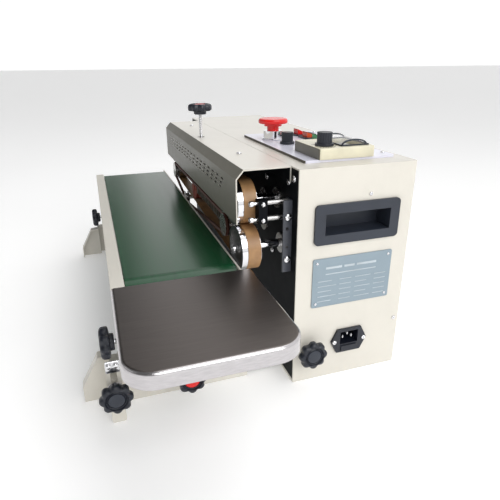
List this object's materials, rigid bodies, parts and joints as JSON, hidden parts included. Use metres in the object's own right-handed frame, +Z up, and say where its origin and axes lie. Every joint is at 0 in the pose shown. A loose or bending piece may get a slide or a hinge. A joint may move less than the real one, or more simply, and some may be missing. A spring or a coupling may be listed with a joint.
{
  "type": "continuous band sealer",
  "caption": "Bench-top continuous band sealer: sealing head with twin bands under a vented hood, belt conveyor, outfeed plate and height-adjustable stand.",
  "frame": {"origin": "middle of the footprint's bounding rectangle, on the surface the machine stands on", "axes": "+X along the conveyor towards the outfeed plate, +Y towards the back of the case, +Z up"},
  "size_m": [0.6806, 0.3856, 0.311],
  "materials": {
    "cream_paint": "semi-gloss powder coat",
    "black_paint": "satin black",
    "panel_grey": "satin film",
    "dark_plastic": "moulded",
    "knob_plastic": "moulded",
    "red_plastic": "gloss",
    "amber_plastic": "gloss",
    "green_plastic": "gloss",
    "cream_plastic": "gloss",
    "chrome": "polished",
    "steel": "brushed",
    "aluminium": "milled",
    "copper_alloy": "milled",
    "band_ptfe": "coated glass cloth",
    "guide_belt": "moulded",
    "belt_green": "smooth PVC",
    "red_rubber": "silicone",
    "glass": "clear",
    "plate_blue": "anodised",
    "board_green": "lacquered",
    "motor_grey": "satin"
  },
  "bodies": {
    "machine": {"base_plate": "cream_paint", "beam_guides": "cream_paint", "block_posts": "steel", "carry_handles": "dark_plastic", "case_shell": "cream_paint", "circuit_board": "board_green", "control_panel": "panel_grey", "controller_housing": "cream_plastic", "cooler_lower": "aluminium", "cooler_upper": "aluminium", "cover_screws": "chrome", "data_plate": "plate_blue", "emergency_collar": "chrome", "gear_motor": "motor_grey", "guide_belt_lower": "guide_belt", "guide_belt_upper": "guide_belt", "heater_lower": "copper_alloy", "heater_upper": "copper_alloy", "hood": "cream_paint", "meter_glass": "glass", "mounting_plate": "black_paint", "power_inlet": "knob_plastic", "pressure_spring": "steel", "rocker_bezels": "dark_plastic", "seal_band_lower": "band_ptfe", "seal_band_upper": "band_ptfe", "shaft_bearings": "steel", "side_bracket": "motor_grey"},
    "emergency_button": {"emergency_button": "red_plastic"},
    "speed_knob": {"speed_knob": "knob_plastic"},
    "temperature_dial": {"temperature_dial": "knob_plastic"},
    "meter_needle": {"meter_needle": "black_paint"},
    "rocker_red": {"rocker_red": "red_plastic"},
    "rocker_amber": {"rocker_amber": "amber_plastic"},
    "rocker_green": {"rocker_green": "green_plastic"},
    "fuse_drawer": {"fuse_drawer": "knob_plastic"},
    "drive_wheel_upper": {"drive_wheel_upper": "chrome"},
    "drive_wheel_lower": {"drive_wheel_lower": "chrome"},
    "idler_wheel_upper": {"idler_wheel_upper": "steel"},
    "idler_wheel_lower": {"idler_wheel_lower": "steel"},
    "press_carriage": {"press_carriage": "black_paint"},
    "press_wheel_upper": {"press_wheel_upper": "steel"},
    "press_wheel_lower": {"press_wheel_lower": "red_rubber"},
    "pressure_knob": {"pressure_knob": "knob_plastic"},
    "guide_pulley_upper": {"guide_pulley_upper": "steel"},
    "guide_pulley_lower": {"guide_pulley_lower": "steel"},
    "guide_tension_pulley": {"guide_tension_pulley": "steel"},
    "belt_idle_roller": {"belt_idle_roller": "steel"},
    "belt_drive_roller": {"belt_drive_roller": "steel"},
    "knob_height_post": {"knob_height_post": "knob_plastic"},
    "knob_leg_outfeed": {"knob_leg_outfeed": "knob_plastic"},
    "knob_leg_infeed": {"knob_leg_infeed": "knob_plastic"},
    "knob_case_end": {"knob_case_end": "knob_plastic"},
    "knob_beam": {"knob_beam": "knob_plastic"},
    "stand": {"stand_outfeed": "cream_paint", "stand_infeed": "cream_paint"},
    "conveyor": {"conveyor_frame": "cream_paint", "conveyor_belt": "belt_green", "outfeed_plate": "steel", "height_post": "cream_paint"}
  },
  "joints": [
    {"name": "drive_wheel_lower_spin", "type": "hinge", "parent": "machine", "child": "drive_wheel_lower", "pos_m": [0.1503, 0.04925, 0.169], "axis": [0, 1, 0], "continuous": true},
    {"name": "drive_wheel_upper_spin", "type": "hinge", "parent": "machine", "child": "drive_wheel_upper", "pos_m": [0.1363, 0.04925, 0.22], "axis": [0, 1, 0], "continuous": true},
    {"name": "idler_wheel_upper_spin", "type": "hinge", "parent": "machine", "child": "idler_wheel_upper", "pos_m": [-0.2457, 0.04925, 0.2098], "axis": [0, 1, 0], "continuous": true},
    {"name": "idler_wheel_lower_spin", "type": "hinge", "parent": "machine", "child": "idler_wheel_lower", "pos_m": [-0.2457, 0.04925, 0.1792], "axis": [0, 1, 0], "continuous": true},
    {"name": "guide_pulley_upper_spin", "type": "hinge", "parent": "machine", "child": "guide_pulley_upper", "pos_m": [0.0943, 0.04925, 0.2098], "axis": [0, 1, 0], "continuous": true},
    {"name": "guide_pulley_lower_spin", "type": "hinge", "parent": "machine", "child": "guide_pulley_lower", "pos_m": [0.0943, 0.04925, 0.1792], "axis": [0, 1, 0], "continuous": true},
    {"name": "guide_tension_pulley_spin", "type": "hinge", "parent": "machine", "child": "guide_tension_pulley", "pos_m": [-0.1507, 0.04925, 0.151], "axis": [0, 1, 0], "continuous": true},
    {"name": "press_wheel_lower_spin", "type": "hinge", "parent": "machine", "child": "press_wheel_lower", "pos_m": [-0.1057, 0.04925, 0.1765], "axis": [0, 1, 0], "continuous": true},
    {"name": "press_carriage_lift", "type": "slide", "parent": "machine", "child": "press_carriage", "axis": [0, 0, 1], "range_m": [0, 0.002], "stiffness_N_per_m": 2000, "springref_m": -0.001, "deforming": ["pressure_spring"]},
    {"name": "press_wheel_upper_spin", "type": "hinge", "parent": "press_carriage", "child": "press_wheel_upper", "pos_m": [-0.1057, 0.04925, 0.2105], "axis": [0, 1, 0], "continuous": true},
    {"name": "pressure_knob_turn", "type": "hinge", "parent": "machine", "child": "pressure_knob", "pos_m": [-0.0662, 0.00725, 0.297], "axis": [0, 0, 1], "range_deg": [-360, 360]},
    {"name": "emergency_button_press", "type": "slide", "parent": "machine", "child": "emergency_button", "axis": [0, 0, -1], "range_m": [0, 0.005], "stiffness_N_per_m": 600, "springref_m": -0.001},
    {"name": "speed_knob_turn", "type": "hinge", "parent": "machine", "child": "speed_knob", "pos_m": [0.0553, 0.09425, 0.28], "axis": [0, 0, 1], "range_deg": [-135, 135]},
    {"name": "temperature_dial_turn", "type": "hinge", "parent": "machine", "child": "temperature_dial", "pos_m": [0.1513, 0.09825, 0.285], "axis": [0, 0, 1], "range_deg": [-135, 135]},
    {"name": "meter_needle_swing", "type": "hinge", "parent": "machine", "child": "meter_needle", "pos_m": [0.1363, 0.11925, 0.2743], "axis": [0, 0, 1], "range_deg": [-40, 40]},
    {"name": "rocker_red_tilt", "type": "hinge", "parent": "machine", "child": "rocker_red", "pos_m": [-0.0117, 0.14725, 0.2667], "axis": [1, 0, 0], "range_deg": [0, 14]},
    {"name": "rocker_amber_tilt", "type": "hinge", "parent": "machine", "child": "rocker_amber", "pos_m": [0.0193, 0.14725, 0.2667], "axis": [1, 0, 0], "range_deg": [0, 14]},
    {"name": "rocker_green_tilt", "type": "hinge", "parent": "machine", "child": "rocker_green", "pos_m": [0.0503, 0.14725, 0.2667], "axis": [1, 0, 0], "range_deg": [0, 14]},
    {"name": "fuse_drawer_pull", "type": "slide", "parent": "machine", "child": "fuse_drawer", "axis": [1, 0, 0], "range_m": [0, 0.014]},
    {"name": "reach_slide", "type": "slide", "parent": "machine", "child": "stand", "axis": [0, -1, 0], "range_m": [0, 0.03]},
    {"name": "height_slide", "type": "slide", "parent": "stand", "child": "conveyor", "axis": [0, 0, 1], "range_m": [0, 0.014]},
    {"name": "belt_drive_roller_spin", "type": "hinge", "parent": "conveyor", "child": "belt_drive_roller", "pos_m": [0.1716, 0.04925, 0.1427], "axis": [0, 1, 0], "continuous": true},
    {"name": "belt_idle_roller_spin", "type": "hinge", "parent": "conveyor", "child": "belt_idle_roller", "pos_m": [-0.3225, 0.04925, 0.1427], "axis": [0, 1, 0], "continuous": true},
    {"name": "knob_height_post_turn", "type": "hinge", "parent": "stand", "child": "knob_height_post", "pos_m": [0.2003, -0.15665, 0.044], "axis": [1, 0, 0], "range_deg": [-180, 360]},
    {"name": "knob_leg_outfeed_turn", "type": "hinge", "parent": "conveyor", "child": "knob_leg_outfeed", "pos_m": [0.1833, -0.15475, 0.096], "axis": [0, -1, 0], "range_deg": [-180, 360]},
    {"name": "knob_leg_infeed_turn", "type": "hinge", "parent": "conveyor", "child": "knob_leg_infeed", "pos_m": [-0.3227, -0.15475, 0.078], "axis": [0, -1, 0], "range_deg": [-180, 360]},
    {"name": "knob_case_end_turn", "type": "hinge", "parent": "machine", "child": "knob_case_end", "pos_m": [0.2003, 0.06725, 0.046], "axis": [1, 0, 0], "range_deg": [-180, 360]},
    {"name": "knob_beam_turn", "type": "hinge", "parent": "machine", "child": "knob_beam", "pos_m": [0.1853, -0.07475, 0.037], "axis": [1, 0, 0], "range_deg": [-180, 360]}
  ],
  "couplings": [
    {"joint": "drive_wheel_upper_spin", "follows": "drive_wheel_lower_spin", "ratio": -1},
    {"joint": "idler_wheel_upper_spin", "follows": "drive_wheel_lower_spin", "ratio": -1.7133},
    {"joint": "idler_wheel_lower_spin", "follows": "drive_wheel_lower_spin", "ratio": 1.7133},
    {"joint": "guide_pulley_upper_spin", "follows": "drive_wheel_lower_spin", "ratio": -1.7133},
    {"joint": "guide_pulley_lower_spin", "follows": "drive_wheel_lower_spin", "ratio": 1.7133},
    {"joint": "guide_tension_pulley_spin", "follows": "drive_wheel_lower_spin", "ratio": 2.3605},
    {"joint": "press_wheel_lower_spin", "follows": "drive_wheel_lower_spin", "ratio": 1.4412},
    {"joint": "press_wheel_upper_spin", "follows": "drive_wheel_lower_spin", "ratio": -1.6333},
    {"joint": "belt_drive_roller_spin", "follows": "drive_wheel_lower_spin", "ratio": 1.5312},
    {"joint": "belt_idle_roller_spin", "follows": "drive_wheel_lower_spin", "ratio": 1.5312}
  ]
}
